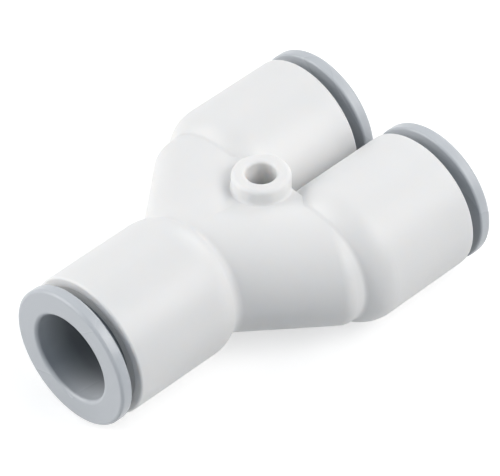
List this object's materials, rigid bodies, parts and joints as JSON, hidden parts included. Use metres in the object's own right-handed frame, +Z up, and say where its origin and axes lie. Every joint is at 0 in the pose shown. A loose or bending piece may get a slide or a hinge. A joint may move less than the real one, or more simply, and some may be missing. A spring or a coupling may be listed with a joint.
{
  "type": "push-in y union",
  "caption": "Y-shaped push-in union for round plastic tube, with a press-to-release collar at each port and a screw hole through a boss between the branches.",
  "frame": {"origin": "centre of the fixing hole, half-way through the fitting", "axes": "+X along the ports, from the single inlet to the pair of outlets; +Y to the left outlet; +Z up the fixing hole"},
  "size_m": [0.0724, 0.0532, 0.0258],
  "materials": {
    "housing": "satin, moulded",
    "collar": "satin, moulded",
    "guide": "satin, moulded",
    "spring_steel": "bright, pressed",
    "spacer": "satin, moulded",
    "seal": "moulded"
  },
  "bodies": {
    "fitting": {"body": "housing", "inlet_guide_ring": "guide", "inlet_grab_ring": "spring_steel", "inlet_spacer_ring": "spacer", "inlet_seal_ring": "seal", "left_guide_ring": "guide", "left_grab_ring": "spring_steel", "left_spacer_ring": "spacer", "left_seal_ring": "seal", "right_guide_ring": "guide", "right_grab_ring": "spring_steel", "right_spacer_ring": "spacer", "right_seal_ring": "seal"},
    "inlet_collar": {"inlet_release_collar": "collar"},
    "left_collar": {"left_release_collar": "collar"},
    "right_collar": {"right_release_collar": "collar"}
  },
  "joints": [
    {"name": "inlet_release", "type": "slide", "parent": "fitting", "child": "inlet_collar", "axis": [1, 0, 0], "range_m": [0, 0.0018], "stiffness_N_per_m": 500, "springref_m": -0.001},
    {"name": "left_release", "type": "slide", "parent": "fitting", "child": "left_collar", "axis": [-1, 0, 0], "range_m": [0, 0.0018], "stiffness_N_per_m": 500, "springref_m": -0.001},
    {"name": "right_release", "type": "slide", "parent": "fitting", "child": "right_collar", "axis": [-1, 0, 0], "range_m": [0, 0.0018], "stiffness_N_per_m": 500, "springref_m": -0.001}
  ]
}
